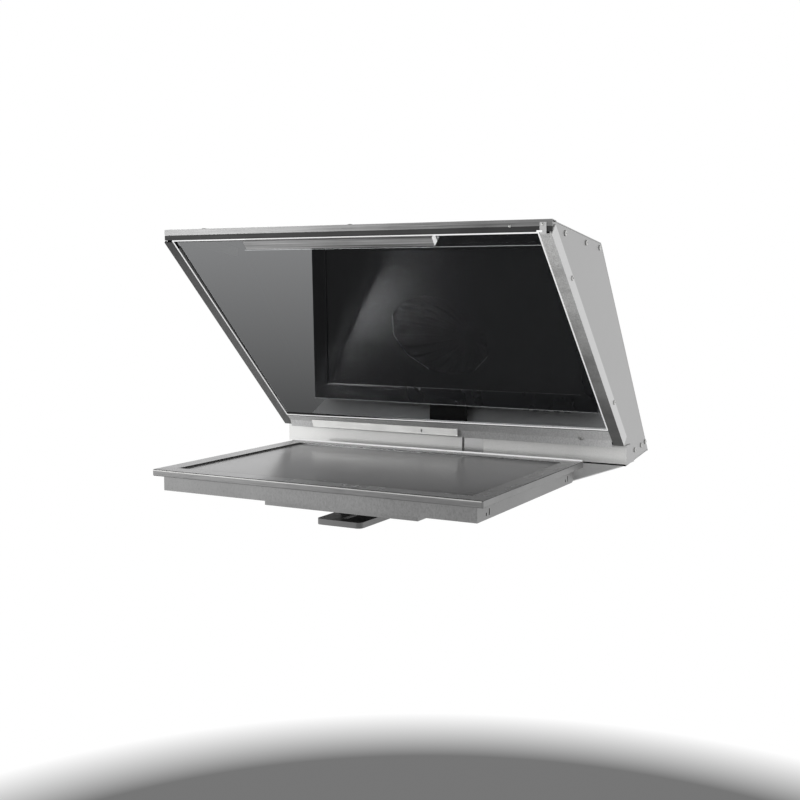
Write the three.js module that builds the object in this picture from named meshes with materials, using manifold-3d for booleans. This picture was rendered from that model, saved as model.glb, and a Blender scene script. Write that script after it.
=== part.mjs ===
// Through-the-glass teleprompter: a face-up monitor in a sheet-metal tray, a 44 degree
// beamsplitter glass in a light-tight sheet-metal hood, and a slotted rail that carries the
// hood, the tripod and the camera. Millimetres, +X to the talent's left hand (the camera
// operator's right), +Y from the talent towards the camera, +Z up.
//
// Everything is drawn in "rig" coordinates, whose origin is the middle of the monitor's
// front top edge. The outer group moves the rig so that the part's own origin lies on the
// underside of the rail, at the middle of the tripod pad.

import * as THREE from 'three';
import { mergeVertices } from 'three/addons/utils/BufferGeometryUtils.js';
import Module from 'manifold-3d';

const wasm = await Module();
wasm.setup();

// ---------------------------------------------------------------- driving dimensions

const GAP = 0.3; // air between pieces that touch
const SHEET = 2; // folded sheet metal
const SKIN = 1.5; // thinner cover sheet

const MONITOR = { width: 565, depth: 404, edge: 10.3, border: 30, lip: 2.2, rebate: 5 };
const TRAY = { halfWidth: 269, front: 11.7, back: 394, top: -10.6, bottom: -34, cornerRadius: 9 };
const CHANNEL = { halfWidth: 136, front: 95, back: 592, top: -34.3, bottom: -59 };

// The hood, as seen from its side: [Y, Z] of the corners of its outer skin.
const HOOD_HALF_WIDTH = 335.6;
const FRONT_TOP = [103.7, 376.5];
const BACK_TOP = [320, 351.7];
const BACK_BOTTOM = [599.6, -1.6];
const FLOOR_FRONT = [512.7, -9.7];
const SLIT_TOP = [491.8, 22.4];
const SIDE_FACE = HOOD_HALF_WIDTH - SHEET - GAP; // outer face of a side sheet
const SIDE_INNER = SIDE_FACE - SHEET;

// The fascia below the roof's front edge: a folded lip, and the frame's top member under it.
const LIP_HEIGHT = 9.5;
const FASCIA_HEIGHT = 17;

// The sheet frame falls from the fascia to the riser, and the glass lies behind it: [Y, Z] at
// the two ends of their front faces. The glass is the steeper of the two by a third of a degree.
const FRAME_TOP = [101, 357.5];
const FRAME_BOTTOM = [451, 23];
const FRAME = { sideWidth: 18, bottomWidth: 30, sideLeg: 20 };
const GLASS = { top: [108, 356.3], bottom: [426, 48.6], thickness: 4, sealWidth: 2.4 };

const RISER = { front: 465, top: 22, bottom: -10, notchLeft: 34, notchRight: 75 };

// The slotted rail under everything.
const RAIL = { halfWidth: 40, front: 93, back: 802, top: -71, bottom: -80, cornerRadius: 9 };
const SLOT_HALF_WIDTH = 5;
const FRONT_SLOT = { front: 112, back: 440 };
const REAR_SLOT = { front: 668, back: 768 };
const TRIPOD_PAD_Y = 515;
const TRIPOD_HOLE = { radius: 4.8, spacing: 56 };

const LENS = { height: 200, radius: 92, ringWidth: 17, ringThickness: 3 };
const SLEEVE = { wall: 3, rootRadius: 98, neckRadius: 18, neckY: 572, neckDrop: 5 };

const LOCK_KNOB_Y = 360;
const CARRIAGE = { front: 662, back: 746, halfWidth: 44, wall: 5, base: 12, top: 60, boltHeight: 38 };
const PLATFORM = { front: 632, back: 792, halfWidth: 60, underside: 62, thickness: 6, legBottom: -50 };
const HEIGHT_TRAVEL = 60;
const KNOB = { radius: 19, height: 14, lobes: 6, stud: 4 };

const BUTTONS = ['power', 'source', 'menu', 'up', 'down'];
const BUTTON = { width: 10, height: 4.2, length: 6, proud: 1.8, spacing: 19, firstX: 150 };

const SCREW = { radius: 4.2, height: 2.2 };

// ---------------------------------------------------------------- materials

const surface = (color, roughness, metalness) =>
  new THREE.MeshStandardMaterial({ color, roughness, metalness });

const brightMetal = surface(0xe2e2e0, 0.3, 1);
const paleSheet = surface(0xb9b9b8, 0.42, 1);
const brushedMetal = surface(0x77777a, 0.4, 1);
const grainedSheet = surface(0x8b8b8c, 0.55, 1);
const darkAnodised = surface(0x3f4042, 0.45, 0.8);
const blackPaint = surface(0x17181a, 0.6, 0);
const blackPlastic = surface(0x1c1d1f, 0.3, 0);
const screenGloss = surface(0x101215, 0.08, 0);
const rubber = surface(0x0c0c0d, 0.85, 0);
const fabric = surface(0x141416, 0.95, 0);
const circuit = surface(0x1f4a34, 0.55, 0);
const glassTint = surface(0x9aa3a6, 0.02, 0.3);

// ---------------------------------------------------------------- geometry helpers

const toVector = ([u, v]) => new THREE.Vector2(u, v);

function extrude(outline, depth, holes = [], bevel = 0) {
  const shape = outline instanceof THREE.Shape ? outline : new THREE.Shape(outline.map(toVector));
  shape.holes.push(...holes);
  const settings = { depth, bevelEnabled: false, curveSegments: 6 };
  if (bevel > 0) {
    Object.assign(settings, {
      depth: depth - 2 * bevel,
      bevelEnabled: true,
      bevelThickness: bevel,
      bevelSize: bevel,
      bevelOffset: -bevel,
      bevelSegments: 1,
    });
  }
  const geometry = new THREE.ExtrudeGeometry(shape, settings);
  return bevel > 0 ? geometry.translate(0, 0, bevel) : geometry;
}

// An outline of [Y, Z] points, extruded along X.
function alongX(outline, x0, x1) {
  const geometry = extrude(outline, x1 - x0);
  const axes = [new THREE.Vector3(0, 1, 0), new THREE.Vector3(0, 0, 1), new THREE.Vector3(1, 0, 0)];
  return geometry.applyMatrix4(new THREE.Matrix4().makeBasis(...axes)).translate(x0, 0, 0);
}

// An outline of [X, Z] points, extruded along Y.
function alongY(outline, y0, y1) {
  return extrude(outline, y1 - y0).rotateX(Math.PI / 2).translate(0, y1, 0);
}

// An outline of [X, Y] points, extruded along Z.
function alongZ(outline, z0, z1, holes, bevel) {
  return extrude(outline, z1 - z0, holes, bevel).translate(0, 0, z0);
}

function box(x0, x1, y0, y1, z0, z1) {
  return new THREE.BoxGeometry(x1 - x0, y1 - y0, z1 - z0)
    .translate((x0 + x1) / 2, (y0 + y1) / 2, (z0 + z1) / 2);
}

function roundedRectangle(x0, x1, y0, y1, radius) {
  const shape = new THREE.Shape();
  shape.absarc(x1 - radius, y0 + radius, radius, -Math.PI / 2, 0);
  shape.absarc(x1 - radius, y1 - radius, radius, 0, Math.PI / 2);
  shape.absarc(x0 + radius, y1 - radius, radius, Math.PI / 2, Math.PI);
  shape.absarc(x0 + radius, y0 + radius, radius, Math.PI, 1.5 * Math.PI);
  return shape;
}

function rectangle(x0, x1, y0, y1) {
  return [[x0, y0], [x1, y0], [x1, y1], [x0, y1]];
}

// A slot with round ends that runs along Y.
function slotAlongY(x, y0, y1, halfWidth) {
  const shape = new THREE.Path();
  shape.absarc(x, y0 + halfWidth, halfWidth, Math.PI, 2 * Math.PI);
  shape.absarc(x, y1 - halfWidth, halfWidth, 0, Math.PI);
  return shape;
}

function circle(x, y, radius) {
  return new THREE.Path().absarc(x, y, radius, 0, 2 * Math.PI);
}

function toManifold(geometry) {
  const plain = geometry.clone();
  plain.deleteAttribute('normal');
  plain.deleteAttribute('uv');
  const merged = mergeVertices(plain, 1e-4);
  return new wasm.Manifold(new wasm.Mesh({
    numProp: 3,
    vertProperties: new Float32Array(merged.attributes.position.array),
    triVerts: new Uint32Array(merged.index.array),
  }));
}

function toGeometry(manifold) {
  const mesh = manifold.getMesh();
  const geometry = new THREE.BufferGeometry();
  geometry.setAttribute('position', new THREE.BufferAttribute(mesh.vertProperties, 3));
  geometry.setIndex(new THREE.BufferAttribute(mesh.triVerts, 1));
  geometry.computeVertexNormals();
  return geometry;
}

function cut(geometry, ...tools) {
  return toGeometry(tools.reduce((solid, tool) => solid.subtract(toManifold(tool)), toManifold(geometry)));
}

function join(...geometries) {
  const [first, ...rest] = geometries.map(toManifold);
  return toGeometry(rest.reduce((solid, other) => solid.add(other), first));
}

function cylinder(radius, length, segments = 20) {
  return new THREE.CylinderGeometry(radius, radius, length, segments).rotateX(Math.PI / 2);
}

// ---------------------------------------------------------------- scene helpers

const rig = new THREE.Group();
rig.position.set(0, -TRIPOD_PAD_Y, -RAIL.bottom);

function add(name, geometry, material, parent = rig) {
  const mesh = new THREE.Mesh(geometry, material);
  mesh.name = name;
  parent.add(mesh);
  return mesh;
}

const interpolate = ([y0, z0], [y1, z1], t) => [y0 + (y1 - y0) * t, z0 + (z1 - z0) * t];

// The point where the line through a and b meets the line through c and d.
function crossing(a, b, c, d) {
  const [ux, uy] = [b[0] - a[0], b[1] - a[1]];
  const [vx, vy] = [d[0] - c[0], d[1] - c[1]];
  const t = ((c[0] - a[0]) * vy - (c[1] - a[1]) * vx) / (ux * vy - uy * vx);
  return interpolate(a, b, t);
}

// The line through a and b, moved to its left by a distance.
function offset(a, b, distance) {
  const length = Math.hypot(b[0] - a[0], b[1] - a[1]);
  const [nx, ny] = [-(b[1] - a[1]) / length, (b[0] - a[0]) / length];
  return [a, b].map(([u, v]) => [u + nx * distance, v + ny * distance]);
}

// ---------------------------------------------------------------- rail

function buildRail() {
  const holes = [
    slotAlongY(0, FRONT_SLOT.front, FRONT_SLOT.back, SLOT_HALF_WIDTH),
    slotAlongY(0, REAR_SLOT.front, REAR_SLOT.back, SLOT_HALF_WIDTH),
    circle(0, TRIPOD_PAD_Y - TRIPOD_HOLE.spacing / 2, TRIPOD_HOLE.radius),
    circle(0, TRIPOD_PAD_Y + TRIPOD_HOLE.spacing / 2, TRIPOD_HOLE.radius),
  ];
  const plan = roundedRectangle(
    -RAIL.halfWidth, RAIL.halfWidth, RAIL.front, RAIL.back, RAIL.cornerRadius);
  add('rail_plate', alongZ(plan, RAIL.bottom, RAIL.top, holes), brushedMetal);
}

// The hood stands on this block; its key slides in the front slot, and the bore takes the lock stud.
function buildSpacer() {
  const [front, back, halfWidth] = [150, 420, 30];
  const keyDepth = 6;
  const block = box(-halfWidth, halfWidth, front, back, RAIL.top + GAP, CHANNEL.bottom - GAP);
  const key = box(
    -SLOT_HALF_WIDTH + GAP, SLOT_HALF_WIDTH - GAP, front + 30, front + 80,
    RAIL.top - keyDepth, RAIL.top + 2);
  const bore = cylinder(KNOB.stud + GAP, 40).translate(0, LOCK_KNOB_Y, RAIL.top + 6);
  add('spacer_block', cut(join(block, key), bore), darkAnodised);
}

// ---------------------------------------------------------------- monitor and its tray

function buildTray() {
  const { halfWidth, front, back, top, bottom, cornerRadius } = TRAY;
  const side = new THREE.Shape();
  side.moveTo(front, bottom);
  side.lineTo(back - cornerRadius, bottom);
  side.absarc(back - cornerRadius, bottom + cornerRadius, cornerRadius, -Math.PI / 2, 0);
  side.lineTo(back, top);
  side.lineTo(front, top);
  const inside = box(
    -halfWidth + SHEET, halfWidth - SHEET, front + SHEET, back + 20, bottom + SHEET, top + 20);
  const shortSlot = { halfLength: 2.2, z: -26.5 };
  const longSlot = { halfLength: 4.6, z: -24.5 };
  const slots = [];
  for (const y of [42, 356]) {
    for (const [offsetY, slot] of [[0, shortSlot], [10, longSlot]]) {
      const { halfLength, z } = slot;
      slots.push(box(-halfWidth - 5, halfWidth + 5, y + offsetY - 1.4, y + offsetY + 1.4,
        z - halfLength, z + halfLength));
    }
  }
  add('monitor_tray', cut(alongX(side, -halfWidth, halfWidth), inside, ...slots), grainedSheet);
}

function buildMonitor() {
  const { width, depth, edge, border, lip, rebate } = MONITOR;
  const half = width / 2;
  const outline = roundedRectangle(-half, half, 0, depth, 3);
  const window = new THREE.Path(rectangle(
    -half + border, half - border, border, depth - border).reverse().map(toVector));
  const frame = alongZ(outline, -edge, 0, [window], 0.9);
  const pocket = box(
    -half + border - rebate, half - border + rebate, border - rebate, depth - border + rebate,
    -edge - 1, -lip);
  const buttonPockets = BUTTONS.map((_, i) => {
    const x = BUTTON.firstX + i * BUTTON.spacing;
    const inner = depth + BUTTON.proud - BUTTON.length - 1.6;
    const halfWidth = BUTTON.width / 2 + GAP;
    const halfHeight = BUTTON.height / 2 + GAP;
    return box(x - halfWidth, x + halfWidth, inner, depth + 1,
      -edge / 2 - halfHeight, -edge / 2 + halfHeight);
  });
  add('monitor_bezel', cut(frame, pocket, ...buttonPockets), blackPlastic);

  const panel = rectangle(
    -half + border - rebate + GAP, half - border + rebate - GAP,
    border - rebate + GAP, depth - border + rebate - GAP);
  const panelTop = -lip - GAP;
  const panelThickness = 2.8;
  add('lcd_panel', alongZ(panel, panelTop - panelThickness, panelTop), screenGloss);
  const chassisTop = panelTop - panelThickness - GAP;
  add('backlight_chassis', alongZ(panel, -edge, chassisTop), paleSheet);

  const shell = { halfWidth: 258, front: 22, back: 388, top: -edge - GAP, wall: 2.5 };
  shell.bottom = TRAY.bottom + SHEET + GAP;
  const outer = alongZ(
    roundedRectangle(-shell.halfWidth, shell.halfWidth, shell.front, shell.back, 8),
    shell.bottom, shell.top);
  const hollow = box(
    -shell.halfWidth + shell.wall, shell.halfWidth - shell.wall, shell.front + shell.wall,
    shell.back - shell.wall, shell.bottom + shell.wall, shell.top + 5);
  const sockets = [
    { name: 'power_inlet', x: -150, halfWidth: 14, z0: -29, z1: -13 },
    { name: 'video_socket', x: -90, halfWidth: 10, z0: -26, z1: -16 },
  ];
  const holes = sockets.map(({ x, halfWidth, z0, z1 }) =>
    box(x - halfWidth - GAP, x + halfWidth + GAP, shell.back - 10, shell.back + 10, z0 - GAP, z1 + GAP));
  add('monitor_back_shell', cut(outer, hollow, ...holes), blackPlastic);
  for (const { name, x, halfWidth, z0, z1 } of sockets) {
    const body = box(x - halfWidth, x + halfWidth, shell.back - 22, shell.back + 3, z0, z1);
    const mouth = box(
      x - halfWidth + 2, x + halfWidth - 2, shell.back - 12, shell.back + 10, z0 + 2, z1 - 2);
    add(name, cut(body, mouth), blackPlastic);
  }

  // Circuit boards stand on the floor of the back shell on one central boss each.
  const floor = shell.bottom + shell.wall + GAP;
  const boards = [
    { name: 'controller_board', x0: -60, x1: 70, y0: 240, y1: 330, parts: [[-30, 270, 15], [30, 300, 10]] },
    { name: 'power_board', x0: -200, x1: -90, y0: 220, y1: 350, parts: [[-165, 260, 18], [-120, 310, 14]] },
  ];
  for (const { name, x0, x1, y0, y1, parts } of boards) {
    const boss = box((x0 + x1) / 2 - 20, (x0 + x1) / 2 + 20, (y0 + y1) / 2 - 20, (y0 + y1) / 2 + 20,
      floor, floor + 4);
    const board = box(x0, x1, y0, y1, floor + 3.9, floor + 5.5);
    const chips = parts.map(([x, y, size]) =>
      box(x - size, x + size, y - size, y + size, floor + 5.4, floor + 11));
    add(name, join(boss, board, ...chips), circuit);
  }

  BUTTONS.forEach((name, i) => {
    const x = BUTTON.firstX + i * BUTTON.spacing;
    const back = depth + BUTTON.proud;
    const outlineXZ = rectangle(
      x - BUTTON.width / 2, x + BUTTON.width / 2,
      -edge / 2 - BUTTON.height / 2, -edge / 2 + BUTTON.height / 2);
    add(`button_${name}`, alongY(outlineXZ, back - BUTTON.length, back), blackPlastic);
  });
}

// A black plate bridges the gap behind the monitor and hides its leads.
function buildCableCover() {
  const [left, right] = [-40, RISER.notchLeft];
  const front = MONITOR.depth + 0.6;
  const back = 446;
  const top = -8.5;
  const outline = [
    [front, top - SHEET], [back - SHEET, top - SHEET], [back - SHEET, -16], [back, -16], [back, top],
    [front, top],
  ];
  add('cable_cover', alongX(outline, left, right), blackPaint);
}

// ---------------------------------------------------------------- base

function buildChannel() {
  const { halfWidth, front, back, top, bottom } = CHANNEL;
  const outer = box(-halfWidth, halfWidth, front, back, bottom, top);
  const inside = box(
    -halfWidth + SHEET, halfWidth - SHEET, front + SHEET, back - SHEET, bottom + SHEET, top + 5);
  add('base_channel', cut(outer, inside), grainedSheet);
}

// The sheet that rises from the tray's back edge to the foot of the riser, widening as it goes.
function buildRamp() {
  const start = [399, TRAY.bottom + 2];
  const end = [RISER.front - GAP, RISER.bottom - 1.2];
  const length = Math.hypot(end[0] - start[0], end[1] - start[1]);
  const [narrow, wide] = [266, 330];
  const outline = [[-narrow, 0], [narrow, 0], [wide, length], [-wide, length]];
  const ramp = add('base_ramp', extrude(outline, SKIN), paleSheet);
  ramp.rotation.x = Math.atan2(end[1] - start[1], length);
  ramp.position.set(0, start[0], start[1] - SKIN);
}

function buildRiser() {
  const { front, top, bottom, notchLeft, notchRight } = RISER;
  const outside = HOOD_HALF_WIDTH;
  // The flange of the riser ends 2 mm short of the hood's side, along the same slant.
  const slant = offset(SLIT_TOP, FLOOR_FRONT, -2);
  const flangeTop = crossing(...slant, [0, top], [1, top]);
  const flangeBottom = crossing(...slant, [0, bottom], [1, bottom]);
  const flange = [[front, bottom], [flangeBottom[0], bottom], [flangeTop[0], top], [front, top]];
  const halves = [
    ['riser_left', -outside, notchLeft, -outside, front],
    ['riser_right', notchRight, outside, outside - SHEET, front + 1.5],
  ];
  for (const [name, x0, x1, flangeX, y] of halves) {
    const face = box(x0, x1, y, y + SHEET, bottom, top);
    add(name, join(face, alongX(flange, flangeX, flangeX + SHEET)), paleSheet);
  }
  const overlap = 8;
  const behind = front + SHEET + 1.5 + GAP;
  add('riser_splice', box(notchLeft - overlap, notchRight + overlap, behind, behind + SHEET,
    bottom, top), brushedMetal);
}

// Carries the hood floor on the channel.
function buildPedestal() {
  const [front, back, halfWidth] = [482, 586, 118];
  const floorAngle = (y) => floorHeight(y) - GAP;
  const outline = [
    [front, CHANNEL.bottom + SHEET + GAP], [back, CHANNEL.bottom + SHEET + GAP],
    [back, floorAngle(back)], [front, floorAngle(front)],
  ];
  const hollow = outline.map(([y, z], i) => [
    y + (y === front ? SHEET : -SHEET), i < 2 ? z - 5 : z - 3]);
  add('hood_pedestal', cut(
    alongX(outline, -halfWidth, halfWidth),
    alongX(hollow, -halfWidth - 1, halfWidth + 1)), darkAnodised);
}

// ---------------------------------------------------------------- hood

const floorHeight = (y) => FLOOR_FRONT[1]
  + (y - FLOOR_FRONT[0]) * (BACK_BOTTOM[1] - FLOOR_FRONT[1]) / (BACK_BOTTOM[0] - FLOOR_FRONT[0]);

const COVER = SKIN + GAP; // a cover sheet and the air under it

// The side sheets reach up to the undersides of the cover sheets.
function sideOutline() {
  const top = offset(FRONT_TOP, BACK_TOP, -COVER);
  const back = offset(BACK_TOP, BACK_BOTTOM, -COVER);
  const floor = offset(FLOOR_FRONT, BACK_BOTTOM, COVER);
  const lipBack = FRONT_TOP[0] + SKIN + GAP;
  const frameBack = offset(FRAME_TOP, FRAME_BOTTOM, SHEET + GAP);
  return [
    crossing(...top, [lipBack, 0], [lipBack, 1]),
    crossing(...frameBack, [lipBack, 0], [lipBack, 1]),
    crossing(...frameBack, [0, SLIT_TOP[1]], [1, SLIT_TOP[1]]),
    SLIT_TOP,
    crossing(...floor, SLIT_TOP, FLOOR_FRONT),
    crossing(...floor, ...back),
    crossing(...top, ...back),
  ];
}

function buildSides() {
  const outline = sideOutline();
  add('hood_side_left', alongX(outline, -SIDE_FACE, -SIDE_INNER), paleSheet);
  add('hood_side_right', alongX(outline, SIDE_INNER, SIDE_FACE), paleSheet);
}

// A cover sheet whose two folded flanges lie inside the side sheets.
function foldedCover(length, flange, margin) {
  const sheet = box(-SIDE_FACE, SIDE_FACE, 0, length, -SKIN, 0);
  const flangeOut = SIDE_INNER - GAP;
  const flanges = [-flangeOut, flangeOut - SKIN].map((x) =>
    box(x, x + SKIN, margin, length - margin, -flange, -SKIN / 2));
  return join(sheet, ...flanges);
}

function placeAlong(mesh, start, end) {
  mesh.position.set(0, start[0], start[1]);
  mesh.rotation.x = Math.atan2(end[1] - start[1], end[0] - start[0]);
}

function buildCovers() {
  const lipBack = FRONT_TOP[0] + 16;
  const start = interpolate(FRONT_TOP, BACK_TOP, (lipBack - FRONT_TOP[0]) / (BACK_TOP[0] - FRONT_TOP[0]));
  const topLength = Math.hypot(BACK_TOP[0] - start[0], BACK_TOP[1] - start[1]);
  placeAlong(add('hood_top', foldedCover(topLength, 16, 24), paleSheet), start, BACK_TOP);

  const floorStart = [RISER.front + 6, floorHeight(RISER.front + 6)];
  const floorEnd = interpolate(FLOOR_FRONT, BACK_BOTTOM, 0.955);
  const floorLength = Math.hypot(floorEnd[0] - floorStart[0], floorEnd[1] - floorStart[1]);
  const floor = foldedCover(floorLength, 24, 14).scale(-1, 1, -1);
  placeAlong(add('hood_floor', floor, paleSheet), floorStart, floorEnd);

  // The back sheet, with the round opening for the lens.
  const drop = BACK_TOP[1] - LENS.height;
  const backStart = interpolate(BACK_TOP, BACK_BOTTOM, 0.006);
  const backLength = Math.hypot(BACK_BOTTOM[0] - backStart[0], BACK_BOTTOM[1] - backStart[1]);
  const lensAlong = drop * backLength / (BACK_TOP[1] - BACK_BOTTOM[1]);
  const outline = rectangle(-SIDE_FACE, SIDE_FACE, 0, backLength);
  const opening = circle(0, lensAlong, LENS.radius);
  const back = extrude(outline, SKIN, [opening]).translate(0, 0, -SKIN);
  placeAlong(add('hood_back', back, paleSheet), backStart, BACK_BOTTOM);

  const ringOuter = LENS.radius + LENS.ringWidth;
  const ring = [[LENS.radius - 2, GAP], [ringOuter, GAP], [ringOuter - 1.5, LENS.ringThickness],
    [LENS.radius - 2, LENS.ringThickness]];
  const collar = new THREE.Group();
  placeAlong(collar, backStart, BACK_BOTTOM);
  rig.add(collar);
  const lensRing = add('lens_ring', lathe(ring, 40), blackPlastic, collar);
  lensRing.position.set(0, lensAlong, 0);
  buildSleeve(interpolate(backStart, BACK_BOTTOM, lensAlong / backLength));
}

// A soft sleeve runs from the ring on the sloping back to an upright neck, which elastic
// draws in where there is no lens in it.
function buildSleeve([centreY, centreZ]) {
  const { wall, rootRadius, neckRadius, neckY, neckDrop } = SLEEVE;
  const lean = Math.atan2(BACK_BOTTOM[0] - BACK_TOP[0], BACK_TOP[1] - BACK_BOTTOM[1]);
  const stand = LENS.ringThickness + GAP;
  const root = [centreY + stand * Math.cos(lean), centreZ + stand * Math.sin(lean)];
  const neck = [neckY, LENS.height - neckDrop];
  const rings = [
    { centre: root, radius: rootRadius, lean },
    { centre: neck, radius: neckRadius, lean: 0 },
    { centre: neck, radius: neckRadius - wall, lean: 0 },
    { centre: root, radius: rootRadius - wall, lean },
  ];
  add('lens_sleeve', ringLoop(rings, 16), fabric);
}

// A closed tube wall: each ring is joined to the next, and the last to the first. A ring
// leans back from upright by its angle.
function ringLoop(rings, segments) {
  const positions = [];
  const index = [];
  rings.forEach(({ centre, radius, lean }, ring) => {
    for (let i = 0; i < segments; i += 1) {
      const turn = (i / segments) * 2 * Math.PI;
      const [across, up] = [radius * Math.cos(turn), radius * Math.sin(turn)];
      positions.push(across, centre[0] - up * Math.sin(lean), centre[1] + up * Math.cos(lean));
      const here = ring * segments;
      const next = ((ring + 1) % rings.length) * segments;
      const j = (i + 1) % segments;
      index.push(here + i, next + i, here + j, here + j, next + i, next + j);
    }
  });
  const geometry = new THREE.BufferGeometry();
  geometry.setAttribute('position', new THREE.Float32BufferAttribute(positions, 3));
  geometry.setIndex(index);
  return geometry;
}

// A closed profile of [radius, height] points, turned about the Z axis.
function lathe(profile, segments) {
  const points = [...profile, profile[0]].map(toVector);
  return new THREE.LatheGeometry(points, segments).rotateX(Math.PI / 2);
}

// The folded strip across the front of the roof, and the top member of the frame under it.
function buildLip() {
  const [y, z] = FRONT_TOP;
  const fall = (BACK_TOP[1] - z) / (BACK_TOP[0] - y);
  const reach = 15.5;
  const outline = [
    [y, z - LIP_HEIGHT], [y + SKIN, z - LIP_HEIGHT], [y + SKIN, z + fall * SKIN - SKIN],
    [y + reach, z + fall * reach - SKIN], [y + reach, z + fall * reach], [y, z],
  ];
  add('roof_lip', alongX(outline, -HOOD_HALF_WIDTH, HOOD_HALF_WIDTH), brushedMetal);

  const below = z - LIP_HEIGHT - GAP;
  add('glass_frame_top', box(-HOOD_HALF_WIDTH, HOOD_HALF_WIDTH, y + GAP, y + SKIN,
    z - FASCIA_HEIGHT, below), brushedMetal);
}

// ---------------------------------------------------------------- glass and its frame

const slope = new THREE.Group();
slope.position.set(0, ...FRAME_TOP);
slope.rotation.x = Math.atan2(FRAME_BOTTOM[1] - FRAME_TOP[1], FRAME_BOTTOM[0] - FRAME_TOP[0]);
rig.add(slope);
slope.updateMatrix();
const slopeMatrix = slope.matrix.clone();

// In this group +Y runs down the slope and +Z points into the hood.
function buildFrame() {
  const { sideWidth, bottomWidth, sideLeg } = FRAME;
  const length = Math.hypot(FRAME_BOTTOM[0] - FRAME_TOP[0], FRAME_BOTTOM[1] - FRAME_TOP[1]);
  const outside = HOOD_HALF_WIDTH;
  const inside = outside - sideWidth;
  const start = SHEET + 2 * GAP;
  const angle = [
    [outside, 0], [outside, sideLeg], [outside - SHEET, sideLeg], [outside - SHEET, SHEET],
    [inside, SHEET], [inside, 0],
  ];
  // The side legs are trimmed to run under the roof.
  const roofLine = offset(FRONT_TOP, BACK_TOP, -COVER);
  const aboveRoof = [...roofLine, [roofLine[1][0], 500], [roofLine[0][0] - 20, 500],
    [roofLine[0][0] - 20, roofLine[0][1] + 2]];
  for (const [name, sign] of [['glass_frame_right', 1], ['glass_frame_left', -1]]) {
    const profile = angle.map(([x, z]) => [sign * x, z]);
    const member = alongY(profile, start, length).applyMatrix4(slopeMatrix);
    add(name, cut(member, alongX(aboveRoof, -400, 400)), brushedMetal);
  }

  const half = inside - GAP;
  // The lower half of the bottom member is bent up from the plane of the frame.
  const bend = length - bottomWidth * 0.45;
  const tilt = 0.42;
  const lower = [bend + (length - bend) * Math.cos(tilt), (length - bend) * Math.sin(tilt)];
  const profile = [
    [length - bottomWidth, 0], [bend, 0], lower, [lower[0] - 1, lower[1] + SHEET],
    [bend - 1, SHEET], [length - bottomWidth, SHEET],
  ];
  add('glass_frame_bottom', alongX(profile, -half, half), brushedMetal, slope);
}

// The glass, and the seal that fills the wedge between it and the frame. Here +Y runs down the
// glass and +Z points into the hood.
function buildGlass() {
  const { top, bottom, thickness, sealWidth } = GLASS;
  const place = new THREE.Group();
  place.position.set(0, ...top);
  place.rotation.x = Math.atan2(bottom[1] - top[1], bottom[0] - top[0]);
  rig.add(place);
  place.updateMatrix();
  const length = Math.hypot(bottom[0] - top[0], bottom[1] - top[1]);
  const half = HOOD_HALF_WIDTH - FRAME.sideWidth - sealWidth - 2 * GAP;
  add('beamsplitter_glass', box(-half, half, 0, length, 0, thickness), glassTint, place);

  const [inner, outer] = [half + GAP, half + GAP + sealWidth];
  const foot = length + GAP + sealWidth;
  const ring = cut(
    box(-outer, outer, -GAP - sealWidth, foot, 0, thickness),
    box(-inner, inner, -GAP, length + GAP, -1, thickness + 1)).applyMatrix4(place.matrix);
  const rim = cut(
    box(-outer, outer, 12, foot, -10, 0.1),
    box(-inner, inner, 11, length + GAP, -11, 1)).applyMatrix4(place.matrix);
  const frameFront = offset(FRAME_TOP, FRAME_BOTTOM, 2 * GAP);
  const [start, end] = [interpolate(...frameFront, -0.2), interpolate(...frameFront, 1.2)];
  const beyond = [start, end, [end[0], -100], [start[0] - 60, -100], [start[0] - 60, start[1]]];
  add('glass_seal', join(ring, cut(rim, alongX(beyond, -400, 400))), rubber);
}

// The short bar across the top of the glass and the bright strip along its foot.
function buildGlassStops() {
  const section = [[102.3, 359], [94.4, 354.6], [104.4, 342.7], [112.8, 350.2], [104.2, 358.6]];
  const [left, right] = [-173, 157];
  add('glass_stop_bar', alongX(section.reverse(), left, right), paleSheet);

  const outline = [[-266, 35.2], [38, 35.2], [38, 22.5], [-262, 22.5]];
  const slot = box(-34.5, -31.5, 430, 440, 26, 31);
  add('glass_foot_strip', cut(alongY(outline, 436.4, 437.9), slot), brightMetal);
}

// ---------------------------------------------------------------- fasteners

// Pan-head screws that tie the side sheets to the folded flanges: [Y, Z] on the side.
const SIDE_SCREWS = [
  ['roof_front', 160.8, 359.6], ['roof_middle', 250.7, 349.5], ['roof_back', 313, 344.2],
  ['floor_front', 519.7, 8.3], ['floor_middle', 556.9, 12.1], ['floor_back', 580, 15.5],
];

function screwHead(radius, height) {
  const profile = [[0, 0], [radius, 0], [radius, height * 0.35], [radius * 0.62, height], [0, height]];
  return new THREE.LatheGeometry(profile.map(toVector), 12).rotateX(Math.PI / 2);
}

function buildSideScrews() {
  for (const [side, sign] of [['left', -1], ['right', 1]]) {
    for (const [place, y, z] of SIDE_SCREWS) {
      const head = screwHead(SCREW.radius, SCREW.height).rotateY(sign * Math.PI / 2);
      const screw = add(`screw_${side}_${place}`, head, brightMetal);
      screw.position.set(sign * (SIDE_FACE + GAP), y, z);
    }
  }
}

// ---------------------------------------------------------------- knobs and camera mount

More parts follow.
